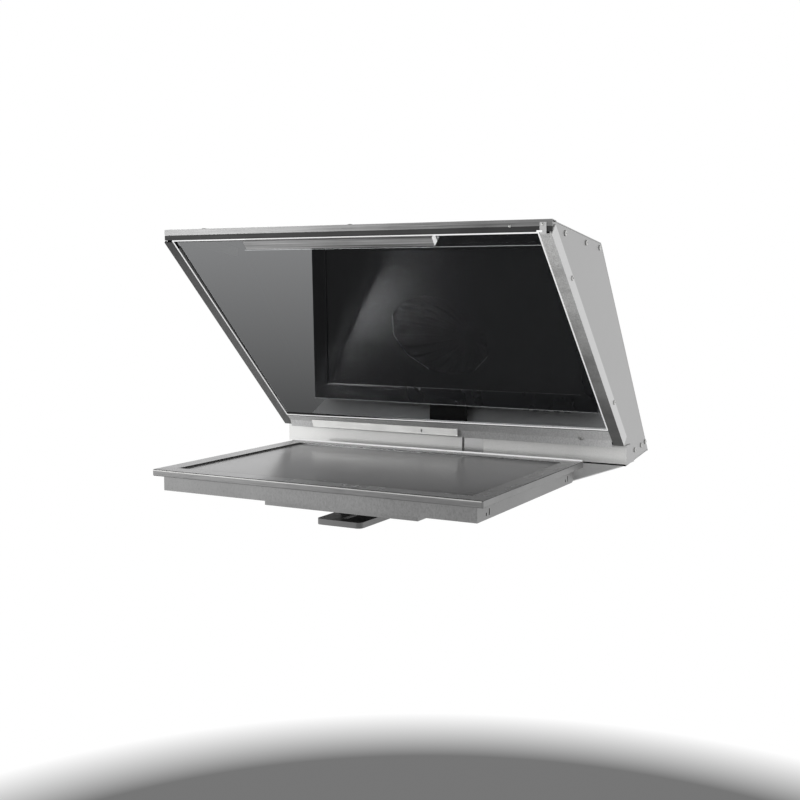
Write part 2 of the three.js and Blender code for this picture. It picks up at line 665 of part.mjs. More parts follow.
// A lobed hand knob with its threaded stud, about the Z axis. Its face is at Z = 0 and the
// stud stands up from it.
function knobGeometry(studLength) {
  const { radius, height, lobes, stud } = KNOB;
  const outline = [];
  const steps = lobes * 6;
  for (let i = 0; i < steps; i += 1) {
    const turn = (i / steps) * 2 * Math.PI;
    const reach = radius * (0.92 + 0.08 * Math.cos(lobes * turn));
    outline.push([reach * Math.cos(turn), reach * Math.sin(turn)]);
  }
  const body = alongZ(outline, -height, -2, [], 1.5);
  const collar = cylinder(radius * 0.5, 4).translate(0, 0, -2);
  const shank = cylinder(stud, studLength + 4, 16).translate(0, 0, studLength / 2 - 2);
  return join(body, collar, shank);
}

function buildLockKnobs() {
  const underRail = RAIL.bottom - GAP;
  const hoodStud = CHANNEL.bottom - GAP - underRail - 1;
  add('hood_lock_knob', knobGeometry(hoodStud), blackPlastic).position.set(0, LOCK_KNOB_Y, underRail);
  const carriageStud = RAIL.top + CARRIAGE.base - underRail - 1;
  const middle = (CARRIAGE.front + CARRIAGE.back) / 2;
  add('carriage_lock_knob', knobGeometry(carriageStud), blackPlastic).position.set(0, middle, underRail);
}

// A U-shaped bracket on the rail. Its two bolts clamp the legs of the camera platform.
function buildCarriage() {
  const { front, back, halfWidth, wall, base, top, boltHeight } = CARRIAGE;
  const bottom = RAIL.top + GAP;
  const middle = (front + back) / 2;
  const outer = box(-halfWidth, halfWidth, front, back, bottom, top);
  const inside = box(-halfWidth + wall, halfWidth - wall, front - 5, back + 5, bottom + base, top + 5);
  const bore = cylinder(KNOB.stud + GAP, 60).translate(0, middle, bottom);
  const boltHole = cylinder(KNOB.stud + GAP, 200).rotateY(Math.PI / 2).translate(0, middle, boltHeight);
  add('camera_carriage', cut(outer, inside, bore, boltHole), brushedMetal);
  for (const [side, sign] of [['left', -1], ['right', 1]]) {
    const knob = add(`height_knob_${side}`, knobGeometry(11), blackPlastic);
    knob.rotation.y = -sign * Math.PI / 2;
    knob.position.set(sign * (halfWidth + GAP), middle, boltHeight);
  }
}

// The plate under the camera. Slots in its legs let it climb past the carriage's bolts.
function buildPlatform() {
  const { front, back, halfWidth, underside, thickness, legBottom } = PLATFORM;
  const { front: cheekFront, back: cheekBack, boltHeight } = CARRIAGE;
  const middle = (cheekFront + cheekBack) / 2;
  const reach = CARRIAGE.halfWidth - CARRIAGE.wall - GAP;
  const legThickness = 4;
  const top = underside + thickness;
  const screwSlot = slotAlongY(0, front + 30, back - 30, 3.6);
  const plate = alongZ(
    roundedRectangle(-halfWidth, halfWidth, front, back, 8), underside, top, [screwSlot]);
  const legs = [-reach, reach - legThickness].map((x) =>
    box(x, x + legThickness, cheekFront + 6, cheekBack - 6, legBottom, underside + 1));
  const slotHalfWidth = KNOB.stud + GAP;
  const climb = slotOutline(
    middle, boltHeight - HEIGHT_TRAVEL - slotHalfWidth - 1, boltHeight + slotHalfWidth + 1, slotHalfWidth);
  add('camera_platform', cut(join(plate, ...legs), alongX(climb, -reach - 5, reach + 5)), brushedMetal);

  // A captive screw holds the camera: a washer that slides along the plate's slot, and the
  // screw itself, which turns in it and stands up through the plate.
  const washer = { radius: 8, bore: 3.4, thickness: 1.2 };
  const ring = rectangle(washer.bore, washer.radius, -washer.thickness, 0);
  add('camera_screw_washer', lathe(ring, 24), brightMetal).position.set(0, middle, underside - GAP);
  const head = cylinder(10, 8, 24).translate(0, 0, -4);
  const shankBottom = -2;
  const shankTop = thickness + 8;
  const shank = cylinder(washer.bore - GAP, shankTop - shankBottom, 16)
    .translate(0, 0, (shankBottom + shankTop) / 2);
  add('camera_screw', join(head, shank), brightMetal)
    .position.set(0, middle, underside - washer.thickness - 2 * GAP);
}

// A slot with round ends that runs along Z, as an outline of [Y, Z].
function slotOutline(y, z0, z1, halfWidth) {
  const shape = new THREE.Shape();
  shape.absarc(y, z1 - halfWidth, halfWidth, 0, Math.PI);
  shape.absarc(y, z0 + halfWidth, halfWidth, Math.PI, 2 * Math.PI);
  return shape;
}

// ---------------------------------------------------------------- assembly

buildRail();
buildSpacer();
buildTray();
buildMonitor();
buildCableCover();
buildChannel();
buildRamp();
buildRiser();
buildPedestal();
buildSides();
buildCovers();
buildLip();
buildFrame();
buildGlass();
buildGlassStops();
buildSideScrews();
buildLockKnobs();
buildCarriage();
buildPlatform();

const teleprompter = new THREE.Group();
teleprompter.name = 'teleprompter';
teleprompter.add(rig);

export default teleprompter;
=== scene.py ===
"""Looks for the teleprompter: materials, fine pieces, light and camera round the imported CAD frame."""

import math
import random

import bmesh
import bpy
from mathutils import Matrix, Vector


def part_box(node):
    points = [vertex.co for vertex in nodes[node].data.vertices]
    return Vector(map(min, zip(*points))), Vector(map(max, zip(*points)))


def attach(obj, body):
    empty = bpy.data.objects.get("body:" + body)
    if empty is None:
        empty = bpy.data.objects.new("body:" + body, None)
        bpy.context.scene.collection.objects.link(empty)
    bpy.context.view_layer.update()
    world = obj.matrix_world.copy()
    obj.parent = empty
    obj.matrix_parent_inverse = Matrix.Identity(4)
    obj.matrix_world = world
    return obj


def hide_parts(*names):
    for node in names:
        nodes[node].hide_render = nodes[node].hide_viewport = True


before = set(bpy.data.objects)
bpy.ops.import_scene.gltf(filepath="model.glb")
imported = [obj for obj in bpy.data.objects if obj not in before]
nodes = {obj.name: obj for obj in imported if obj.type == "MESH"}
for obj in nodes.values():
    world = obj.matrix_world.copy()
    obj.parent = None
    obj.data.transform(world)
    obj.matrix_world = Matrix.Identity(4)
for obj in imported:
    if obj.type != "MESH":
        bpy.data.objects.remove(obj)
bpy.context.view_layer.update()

MM = 0.001
X, Y, Z = Vector((1, 0, 0)), Vector((0, 1, 0)), Vector((0, 0, 1))

# The outer face of the glass frame, which falls from the fascia to the riser.
SLOPE_TOP = Vector((0, -0.4140, 0.4375))
SLOPE_FOOT = Vector((0, -0.0640, 0.1030))
DOWN_SLOPE = (SLOPE_FOOT - SLOPE_TOP).normalized()
INTO_HOOD = X.cross(DOWN_SLOPE)
SLOPE_LENGTH = (SLOPE_FOOT - SLOPE_TOP).length
LIP_LOW, LIP_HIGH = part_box("roof_lip")
HALF_WIDTH = LIP_HIGH.x

SCREW_RADIUS = 4.2 * MM
SCREW_HEIGHT = 2.2 * MM
KNOB_RADIUS = 19 * MM
KNOB_HEIGHT = 14 * MM


def on_slope(x, along, depth=0.0):
    """A point of the glass plane: across, down the slope and into the hood."""
    return SLOPE_TOP + X * x + DOWN_SLOPE * along + INTO_HOOD * depth


# ---------------------------------------------------------------- camera and light

FRONT_ROOM = 0.6
CEILING = 0.18
LAMP_AIM = (0, -0.2, 0.2)


def make_camera():
    data = bpy.data.cameras.new("camera")
    data.lens = 51.73
    data.sensor_width = 36
    camera = bpy.data.objects.new("camera", data)
    camera.location = (0.8983, -1.9004, 0.3612)
    camera.rotation_euler = [math.radians(a) for a in (90 - 5.52, -0.1, 28.17)]
    bpy.context.scene.collection.objects.link(camera)
    bpy.context.scene.camera = camera


def make_area_light(name, place, size, power):
    data = bpy.data.lights.new(name, "AREA")
    data.shape = "RECTANGLE"
    data.size = data.size_y = size
    data.energy = power
    light = bpy.data.objects.new(name, data)
    light.location = place
    direction = Vector(LAMP_AIM) - Vector(place)
    light.rotation_euler = direction.to_track_quat("-Z", "Y").to_euler()
    light.visible_camera = False
    bpy.context.scene.collection.objects.link(light)


def make_world():
    """White behind and beside the teleprompter, a dimmer room in front of it, a dark ceiling."""
    world = bpy.data.worlds.new("studio")
    bpy.context.scene.world = world
    world.use_nodes = True
    tree = world.node_tree
    direction = tree.nodes.new("ShaderNodeTexCoord")
    facing = tree.nodes.new("ShaderNodeVectorMath")
    facing.operation = "DOT_PRODUCT"
    facing.inputs[1].default_value = Vector((-0.35, 0.94, 0)).normalized()
    tree.links.new(direction.outputs["Generated"], facing.inputs[0])
    split = tree.nodes.new("ShaderNodeSeparateXYZ")
    tree.links.new(direction.outputs["Generated"], split.inputs[0])
    around = spread(tree, facing.outputs["Value"], FRONT_ROOM, 1.0, -0.55, 0.35)
    above = spread(tree, split.outputs["Z"], 1.0, CEILING, 0.32, 0.72)
    background = tree.nodes["Background"]
    background.inputs["Color"].default_value = (1, 1, 1, 1)
    tree.links.new(multiply(tree, around, above), background.inputs["Strength"])


def make_floor():
    """A round of glowing floor far below that fades out at its rim. Its glow grows darker towards the back:
    a painted shadow of the rig, which the glass reflects.
    """
    bpy.ops.mesh.primitive_circle_add(vertices=96, radius=2.2, fill_type="NGON", location=(0, 0, -1.25))
    floor = bpy.context.object
    floor.name = "floor"
    mat = bpy.data.materials.new("floor_glow_painted_shadow")
    mat.use_nodes = True
    tree = mat.node_tree
    tree.nodes.remove(tree.nodes["Principled BSDF"])
    place = tree.nodes.new("ShaderNodeTexCoord")
    split = tree.nodes.new("ShaderNodeSeparateXYZ")
    reach = tree.nodes.new("ShaderNodeVectorMath")
    reach.operation = "LENGTH"
    tree.links.new(place.outputs["Object"], split.inputs[0])
    tree.links.new(place.outputs["Object"], reach.inputs[0])
    glow = tree.nodes.new("ShaderNodeEmission")
    # Painted shadow: the glow falls from the front of the floor to its back.
    tree.links.new(spread(tree, split.outputs["Y"], 0.50, 0.18, -0.42, 0.12), glow.inputs["Strength"])
    clear = tree.nodes.new("ShaderNodeBsdfTransparent")
    mix = tree.nodes.new("ShaderNodeMixShader")
    tree.links.new(spread(tree, reach.outputs["Value"], 0, 1, 1.75, 2.15), mix.inputs["Fac"])
    tree.links.new(glow.outputs["Emission"], mix.inputs[1])
    tree.links.new(clear.outputs["BSDF"], mix.inputs[2])
    tree.links.new(mix.outputs["Shader"], tree.nodes["Material Output"].inputs["Surface"])
    floor.data.materials.append(mat)


def make_stage():
    bpy.context.scene.view_settings.view_transform = "Standard"
    make_world()
    sun = bpy.data.lights.new("sky", "SUN")
    sun.energy = 0.35
    sun.angle = math.radians(40)
    lamp = bpy.data.objects.new("sky", sun)
    lamp.rotation_euler = (math.radians(28), math.radians(22), 0)
    bpy.context.scene.collection.objects.link(lamp)
    make_area_light("key_low", (-1.47, -2.08, 0.22), 0.22, 7)
    make_area_light("key_high", (-1.45, -2.0, 0.72), 0.4, 1.6)
    make_floor()


# ---------------------------------------------------------------- materials


def principled(name, colour, roughness, metallic=0.0, **inputs):
    mat = bpy.data.materials.new(name)
    mat.use_nodes = True
    bsdf = mat.node_tree.nodes["Principled BSDF"]
    bsdf.inputs["Base Color"].default_value = (*colour, 1)
    bsdf.inputs["Roughness"].default_value = roughness
    bsdf.inputs["Metallic"].default_value = metallic
    for key, value in inputs.items():
        bsdf.inputs[key.replace("_", " ")].default_value = value
    return mat, mat.node_tree, bsdf


def noise(tree, scale, detail=3.0, roughness=0.6, turn=(0, 0, 0)):
    """Noise in the object's frame, with its own scale per metre along each axis."""
    nodes_, links = tree.nodes, tree.links
    place = nodes_.new("ShaderNodeTexCoord")
    mapping = nodes_.new("ShaderNodeMapping")
    mapping.inputs["Scale"].default_value = scale
    mapping.inputs["Rotation"].default_value = turn
    texture = nodes_.new("ShaderNodeTexNoise")
    texture.inputs["Scale"].default_value = 1.0
    texture.inputs["Detail"].default_value = detail
    texture.inputs["Roughness"].default_value = roughness
    links.new(place.outputs["Object"], mapping.inputs["Vector"])
    links.new(mapping.outputs["Vector"], texture.inputs["Vector"])
    return texture.outputs["Fac"]


def spread(tree, source, low, high, start=0.3, end=0.7):
    """The source, stretched from start..end to low..high."""
    node = tree.nodes.new("ShaderNodeMapRange")
    node.inputs["From Min"].default_value = start
    node.inputs["From Max"].default_value = end
    node.inputs["To Min"].default_value = low
    node.inputs["To Max"].default_value = high
    tree.links.new(source, node.inputs["Value"])
    return node.outputs["Result"]


def multiply(tree, first, second):
    node = tree.nodes.new("ShaderNodeMath")
    node.operation = "MULTIPLY"
    tree.links.new(first, node.inputs[0])
    tree.links.new(second, node.inputs[1])
    return node.outputs[0]


def grey_to_colour(tree, value, colour, target):
    """Base colour = the colour times a grey value."""
    node = tree.nodes.new("ShaderNodeVectorMath")
    node.operation = "SCALE"
    node.inputs[0].default_value = colour
    tree.links.new(value, node.inputs["Scale"])
    tree.links.new(node.outputs["Vector"], target)


def raise_by(tree, bsdf, source, strength, distance):
    node = tree.nodes.new("ShaderNodeBump")
    node.inputs["Strength"].default_value = strength
    node.inputs["Distance"].default_value = distance
    tree.links.new(source, node.inputs["Height"])
    tree.links.new(node.outputs["Normal"], bsdf.inputs["Normal"])


ALONG_X = (14, 1500, 1500)
ALONG_Y = (1500, 14, 1500)
SLOPE_TURN = (math.radians(45), 0, 0)


def brushed(name, colour, roughness, streaks=ALONG_X, turn=(0, 0, 0), cloud=0.12, depth=0.5,
            contrast=0.11, metallic=1.0):
    """Brushed metal: streaks in its tone, gloss and relief, and a slow drift in its tone."""
    mat, tree, bsdf = principled(name, colour, roughness, metallic)
    fine = noise(tree, streaks, 2.0, 0.7, turn)
    broad = noise(tree, (9, 14, 14), 4.0, 0.6)
    tone = multiply(tree, spread(tree, fine, 1 - contrast, 1 + contrast),
                    spread(tree, broad, 1 - cloud, 1 + cloud))
    grey_to_colour(tree, tone, colour, bsdf.inputs["Base Color"])
    tree.links.new(spread(tree, fine, roughness - 0.08, roughness + 0.10), bsdf.inputs["Roughness"])
    raise_by(tree, bsdf, fine, depth, 0.05 * MM)
    return mat


def speckled(name, colour, roughness, metallic=1.0):
    """Bare sheet with a mottled grain a few millimetres across."""
    mat, tree, bsdf = principled(name, colour, roughness, metallic)
    mottle = noise(tree, (420, 420, 260), 3.0, 0.65)
    broad = noise(tree, (8, 8, 8), 3.0, 0.5)
    tone = multiply(tree, spread(tree, mottle, 0.84, 1.16), spread(tree, broad, 0.92, 1.08))
    grey_to_colour(tree, tone, colour, bsdf.inputs["Base Color"])
    tree.links.new(spread(tree, mottle, roughness - 0.1, roughness + 0.1), bsdf.inputs["Roughness"])
    raise_by(tree, bsdf, mottle, 0.35, 0.15 * MM)
    return mat


def satin(name, colour, roughness, metallic=1.0):
    """Satin sheet: a very fine grain under slow clouds."""
    mat, tree, bsdf = principled(name, colour, roughness, metallic)
    fine = noise(tree, (900, 900, 900), 2.0, 0.6)
    broad = noise(tree, (11, 7, 7), 4.0, 0.62)
    tone = multiply(tree, spread(tree, fine, 0.96, 1.04), spread(tree, broad, 0.93, 1.06))
    grey_to_colour(tree, tone, colour, bsdf.inputs["Base Color"])
    tree.links.new(spread(tree, broad, roughness - 0.05, roughness + 0.06), bsdf.inputs["Roughness"])
    raise_by(tree, bsdf, fine, 0.2, 0.03 * MM)
    return mat


def moulded(name, colour, roughness, relief=0.25, **inputs):
    """Moulded plastic or paint with a fine pebble."""
    mat, tree, bsdf = principled(name, colour, roughness, **inputs)
    pebble = noise(tree, (1600, 1600, 1600), 2.0, 0.5)
    broad = noise(tree, (40, 40, 40), 3.0, 0.6)
    tree.links.new(spread(tree, broad, roughness - 0.04, roughness + 0.06), bsdf.inputs["Roughness"])
    grey_to_colour(tree, spread(tree, broad, 0.92, 1.08), colour, bsdf.inputs["Base Color"])
    raise_by(tree, bsdf, pebble, relief, 0.04 * MM)
    return mat


def coated_glass():
    """The front of the beamsplitter: part mirror, part clear."""
    mat = bpy.data.materials.new("beamsplitter_front")
    mat.use_nodes = True
    tree = mat.node_tree
    tree.nodes.remove(tree.nodes["Principled BSDF"])
    output = tree.nodes["Material Output"]
    mix = tree.nodes.new("ShaderNodeMixShader")
    clear = tree.nodes.new("ShaderNodeBsdfTransparent")
    clear.inputs["Color"].default_value = (0.80, 0.81, 0.82, 1)
    mirror = tree.nodes.new("ShaderNodeBsdfGlossy")
    mirror.inputs["Roughness"].default_value = 0.0
    mirror.inputs["Color"].default_value = (0.97, 0.985, 1.0, 1)
    fresnel = tree.nodes.new("ShaderNodeFresnel")
    fresnel.inputs["IOR"].default_value = 1.5
    share = spread(tree, fresnel.outputs["Fac"], 0.40, 1.0, 0.0, 1.0)
    tree.links.new(share, mix.inputs["Fac"])
    tree.links.new(clear.outputs["BSDF"], mix.inputs[1])
    tree.links.new(mirror.outputs["BSDF"], mix.inputs[2])
    tree.links.new(mix.outputs["Shader"], output.inputs["Surface"])
    return mat


def dusty(mat, weight):
    """Adds a film of dust, which shows at grazing angles."""
    bsdf = mat.node_tree.nodes["Principled BSDF"]
    bsdf.inputs["Sheen Weight"].default_value = weight
    bsdf.inputs["Sheen Roughness"].default_value = 0.35
    return mat


# Heights between which the painted light and shade on the glass-frame members changes.
PAINTED_LIGHT_FOOT, PAINTED_LIGHT_HEAD = 0.16, 0.42


def painted_light_by_height(mat, foot, head):
    """Painted light and shade: scales a metal's tone from its foot to its head, between two heights, in
    place of the highlights and shade that the glass-frame members catch.
    """
    tree = mat.node_tree
    bsdf = tree.nodes["Principled BSDF"]
    before = bsdf.inputs["Base Color"].links[0].from_socket
    place = tree.nodes.new("ShaderNodeTexCoord")
    split = tree.nodes.new("ShaderNodeSeparateXYZ")
    tree.links.new(place.outputs["Object"], split.inputs[0])
    node = tree.nodes.new("ShaderNodeVectorMath")
    node.operation = "SCALE"
    tree.links.new(before, node.inputs[0])
    tree.links.new(spread(tree, split.outputs["Z"], foot, head, PAINTED_LIGHT_FOOT, PAINTED_LIGHT_HEAD), node.inputs["Scale"])
    tree.links.new(node.outputs["Vector"], bsdf.inputs["Base Color"])
    return mat


def clear_glass():
    """The back of the beamsplitter: clear, with a weak reflection."""
    mat = bpy.data.materials.new("beamsplitter_clear")
    mat.use_nodes = True
    tree = mat.node_tree
    tree.nodes.remove(tree.nodes["Principled BSDF"])
    mix = tree.nodes.new("ShaderNodeMixShader")
    mix.inputs["Fac"].default_value = 0.03
    clear = tree.nodes.new("ShaderNodeBsdfTransparent")
    clear.inputs["Color"].default_value = (0.95, 0.97, 0.96, 1)
    gloss = tree.nodes.new("ShaderNodeBsdfGlossy")
    gloss.inputs["Roughness"].default_value = 0.02
    tree.links.new(clear.outputs["BSDF"], mix.inputs[1])
    tree.links.new(gloss.outputs["BSDF"], mix.inputs[2])
    tree.links.new(mix.outputs["Shader"], tree.nodes["Material Output"].inputs["Surface"])
    return mat


def screen_face():
    """The monitor's matt panel: a clear reflection under a weak, wide haze."""
    mat, tree, bsdf = principled("lcd_face", (0.030, 0.030, 0.032), 0.16, 0.0, IOR=1.85,
                                 Sheen_Weight=0.35, Sheen_Roughness=0.35)
    smear = noise(tree, (5, 9, 5), 3.0, 0.5)
    tree.links.new(spread(tree, smear, 0.16, 0.21), bsdf.inputs["Roughness"])
    return mat


def woven(name, colour):
    """Black woven cloth: crossed threads, a little lint and a soft sheen."""
    mat, tree, bsdf = principled(name, colour, 0.95, 0.0, Sheen_Weight=0.25, Sheen_Roughness=0.4)
    place = tree.nodes.new("ShaderNodeTexCoord")
    heights = []
    for direction in ("X", "Z"):
        wave = tree.nodes.new("ShaderNodeTexWave")
        wave.bands_direction = direction
        wave.inputs["Scale"].default_value = 330
        wave.inputs["Distortion"].default_value = 1.5
        wave.inputs["Detail"].default_value = 1.0
        tree.links.new(place.outputs["Object"], wave.inputs["Vector"])
        heights.append(wave.outputs["Fac"])
    threads = multiply(tree, *heights)
    lint = noise(tree, (60, 60, 60), 4.0, 0.6)
    grey_to_colour(tree, spread(tree, lint, 0.8, 1.35), colour, bsdf.inputs["Base Color"])
    raise_by(tree, bsdf, threads, 0.6, 0.25 * MM)
    return mat


PALE = (0.47, 0.47, 0.47)
MATERIALS = {
    "rail": brushed("rail_metal", (0.20, 0.20, 0.20), 0.42, ALONG_Y),
    "mount": brushed("mount_metal", (0.24, 0.24, 0.24), 0.40, ALONG_Y),
    "anodised": moulded("dark_anodised", (0.035, 0.035, 0.036), 0.42),
    "tray": speckled("tray_metal", (0.28, 0.28, 0.28), 0.46),
    "bezel": dusty(satin("monitor_bezel", (0.11, 0.11, 0.113), 0.25), 0.5),
    "edge": brushed("monitor_edge", (0.24, 0.24, 0.24), 0.36, (30, 900, 900)),
    "shell": moulded("monitor_shell", (0.02, 0.02, 0.021), 0.35),
    "screen": screen_face(),
    "chassis": satin("chassis_metal", (0.5, 0.5, 0.5), 0.4),
    "board": moulded("circuit_board", (0.02, 0.11, 0.055), 0.45),
    "paint": moulded("black_paint", (0.022, 0.022, 0.022), 0.5),
    "inside": moulded("flocked_black", (0.002, 0.002, 0.002), 0.95, 0.6, IOR=1.08),
    "pale": satin("pale_sheet", PALE, 0.46),
    "ramp": satin("ramp_sheet", (0.80, 0.80, 0.80), 0.46, 0.3),
    "splice": satin("splice_sheet", (0.62, 0.62, 0.62), 0.46),
    "riser": satin("riser_sheet", (0.90, 0.90, 0.89), 0.60),
    # A lighter copy of the pale sheet: painted light for the bright band along the hood's front edge, on
    # the glass-frame members' outer faces and the corner tab.
    "leg_painted_light": satin("leg_sheet_painted_light", (0.62, 0.62, 0.62), 0.40),
    "bright": brushed("bright_metal", (0.60, 0.60, 0.59), 0.45),
    "frame_foot": speckled("frame_metal_foot", (0.75, 0.75, 0.75), 0.42, 0.3),
    # The glass-frame members are lit and shaded copies of one brushed sheet: the left one dark and lighter
    # towards its foot, the right one pale with a painted highlight that grows towards its head.
    "frame_left": painted_light_by_height(
        brushed("frame_metal_left_painted_shade", (0.20, 0.20, 0.20), 0.38, (600, 14, 600), SLOPE_TURN, contrast=0.2),
        1.7, 0.6),
    "frame_right": painted_light_by_height(
        brushed("frame_metal_right_painted_light", (0.80, 0.80, 0.79), 0.42, (600, 14, 600), SLOPE_TURN, 0.25,
                contrast=0.2, metallic=0.3), 0.22, 1.15),
    "tape": speckled("foot_tape", (0.75, 0.75, 0.75), 0.5, 0.3),
    "lip": brushed("lip_metal", (0.25, 0.25, 0.25), 0.34, (10, 500, 500), contrast=0.2),
    "fascia": brushed("fascia_metal", (0.07, 0.07, 0.07), 0.55, (10, 500, 500)),
    "stop": brushed("stop_metal", (0.58, 0.58, 0.58), 0.40, (4, 330, 330), contrast=0.4),
    "rubber": moulded("seal_rubber", (0.008, 0.008, 0.008), 0.7),
    "seal_edge": moulded("seal_edge", (0.20, 0.20, 0.20), 0.5),
    # Painted light: a white that glows a little though it is no lamp, on the glazing bead, the corner stop,
    # the stop bar's ends and rounded edges, and the painted highlight along the monitor's rear edge.
    "glowing_white": principled("glazing_bead", (0.95, 0.95, 0.95), 0.4,
                       Emission_Color=(1, 1, 1, 1), Emission_Strength=0.35)[0],
    "knob": moulded("knob_plastic", (0.018, 0.018, 0.019), 0.4),
    "screw": brushed("screw_metal", (0.62, 0.62, 0.61), 0.28, (300, 300, 300)),
    "cloth": woven("sleeve_cloth", (0.020, 0.020, 0.021)),
    "glass_front": coated_glass(),
    "glass_clear": clear_glass(),
}


def paint(node, *keys):
    """Gives a CAD node its materials, the first of them on every face."""
    mesh = nodes[node].data
    mesh.materials.clear()
    for key in keys:
        mesh.materials.append(MATERIALS[key])
    for face in mesh.polygons:
        face.material_index = 0


def repaint(node, index, facing, least=0.6):
    """Puts another of the node's materials on the faces that look in a direction."""
    obj = nodes[node]
    for face in obj.data.polygons:
        if face.normal.dot(Vector(facing).normalized()) > least:
            face.material_index = index


def soften(node, width, painted_edge_slot=-1):
    """Rounds a CAD node's edges, after joining its flat triangles. The rounds can take another of
    its materials, as painted highlights or painted shade along the edges."""
    flats = nodes[node].modifiers.new("flats", "DECIMATE")
    flats.decimate_type = "DISSOLVE"
    flats.angle_limit = math.radians(1)
    flats.delimit = {"MATERIAL"}
    edges = nodes[node].modifiers.new("edges", "BEVEL")
    edges.width = width
    edges.segments = 2
    edges.limit_method = "ANGLE"
    edges.angle_limit = math.radians(30)
    edges.material = painted_edge_slot


def paint_cad():
    plain_nodes = {
        "mount": ["camera_carriage", "camera_platform"],
        "anodised": ["spacer_block", "hood_pedestal"],
        "tray": ["base_channel"],
        "shell": ["monitor_back_shell", "power_inlet", "video_socket"],
        "screen": ["lcd_panel"],
        "chassis": ["backlight_chassis"],
        "board": ["controller_board", "power_board"],
        "paint": ["cable_cover"],
        "ramp": ["base_ramp"],
        "splice": ["riser_splice"],
        "bright": ["glass_foot_strip"],
        "fascia": ["glass_frame_top"],
        "frame_foot": ["glass_frame_bottom"],
        "inside": ["lens_ring"],
    }
    for key, names in plain_nodes.items():
        for name in names:
            paint(name, key)
    for name in (n for n in nodes if n.startswith("button_")):
        paint(name, "knob")
    paint("monitor_bezel", "edge", "bezel", "shell")
    repaint("monitor_bezel", 1, Z)
    paint("monitor_tray", "tray", "bright")
    paint("rail_plate", "rail", "bright")
    # The stop bar's end faces take the glowing white: painted highlights on its ends.
    paint("glass_stop_bar", "stop", "glowing_white")
    repaint("glass_stop_bar", 1, X)
    repaint("glass_stop_bar", 1, -X)
    paint("roof_lip", "lip", "pale", "inside")
    repaint("roof_lip", 1, Z)
    repaint("roof_lip", 2, -Z)
    for side, sign in (("left", -1), ("right", 1)):
        paint(f"riser_{side}", "riser", "pale")
        repaint(f"riser_{side}", 1, X)
        repaint(f"riser_{side}", 1, -X)
        paint(f"hood_side_{side}", "pale", "inside")
        repaint(f"hood_side_{side}", 1, X * -sign)
        paint(f"glass_frame_{side}", f"frame_{side}", "leg_painted_light", "inside")
        # The member's outer faces take the lighter sheet: painted light.
        repaint(f"glass_frame_{side}", 1, X * sign, 0.9)
        repaint(f"glass_frame_{side}", 2, INTO_HOOD)
    for name, outward in (("hood_top", Z), ("hood_floor", -Z), ("hood_back", INTO_HOOD)):
        paint(name, "inside", "pale")
        for facing in (outward, X, -X):
            repaint(name, 1, facing)
    paint("glass_seal", "rubber", "seal_edge")
    repaint("glass_seal", 1, X)
    paint("beamsplitter_glass", "glass_clear", "glass_front")
    repaint("beamsplitter_glass", 1, -INTO_HOOD, 0.9)

    widths = {
        "rail_plate": 0.8, "monitor_tray": 0.6, "monitor_bezel": 0.9, "base_channel": 0.6,
        "roof_lip": 0.35, "hood_top": 0.4, "hood_back": 0.4, "hood_floor": 0.4,
        "glass_frame_left": 0.5, "glass_frame_right": 0.5, "glass_frame_top": 0.4,
        "glass_frame_bottom": 0.4, "glass_stop_bar": 0.9, "glass_foot_strip": 0.4,
        "riser_left": 0.5, "riser_right": 0.5, "riser_splice": 0.4, "hood_side_left": 0.4,
        "hood_side_right": 0.4, "camera_carriage": 0.7, "camera_platform": 0.8,
        "spacer_block": 0.8, "hood_pedestal": 0.5, "cable_cover": 0.5, "base_ramp": 0.4,
        "monitor_back_shell": 0.8, "power_inlet": 0.5, "video_socket": 0.5,
    }
    # Rounds in another material: painted highlights on the tray's, the rail plate's and the stop bar's
    # edges, painted shade on the monitor bezel's edges.
    painted_edge_light_and_shade = {"monitor_bezel": 2, "monitor_tray": 1, "rail_plate": 1, "glass_stop_bar": 1}
    for name, width in widths.items():
        soften(name, width * MM, painted_edge_light_and_shade.get(name, -1))
    for name in (n for n in nodes if n.startswith("button_")):
        soften(name, 0.6 * MM)


# ---------------------------------------------------------------- building pieces


def piece(name, mesh, material, body, replaced=()):
    obj = bpy.data.objects.new(name, mesh)
    bpy.context.scene.collection.objects.link(obj)
    if not mesh.materials:
        mesh.materials.append(MATERIALS[material])
    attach(obj, body)
    if replaced:
        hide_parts(*replaced)
    return obj


def mesh_from(name, vertices, faces, smooth=True):
    mesh = bpy.data.meshes.new(name)
    mesh.from_pydata([tuple(v) for v in vertices], [], faces)
    mesh.validate()
    if smooth:
        mesh.shade_smooth()
    return mesh


def turned(place, normal, spin=0.0):
    """A matrix that puts the local Z axis along a normal."""
    stand = Vector(normal).to_track_quat("Z", "Y").to_matrix().to_4x4()
    return Matrix.Translation(place) @ stand @ Matrix.Rotation(spin, 4, "Z")


def box_mesh(name, low, high, bevel):
    """A box with rounded edges."""
    shape = bmesh.new()
    bmesh.ops.create_cube(shape, size=1.0)
    low, high = Vector(low), Vector(high)
    size = high - low
    for v in shape.verts:
        v.co = Vector((v.co[i] * size[i] for i in range(3))) + (low + high) / 2
    bmesh.ops.bevel(shape, geom=shape.edges[:], offset=bevel, segments=3, affect="EDGES", profile=0.5)
    mesh = bpy.data.meshes.new(name)
    shape.to_mesh(mesh)
    shape.free()
    return mesh


def ring_faces(rings, segments, closed=False):
    """Quads between successive rings of points."""
    faces = []
    for r in range(rings - (0 if closed else 1)):
        for s in range(segments):
            a, b = r * segments + s, r * segments + (s + 1) % segments
            up = ((r + 1) % rings) * segments
            faces.append((a, b, up + (s + 1) % segments, up + s))
    return faces


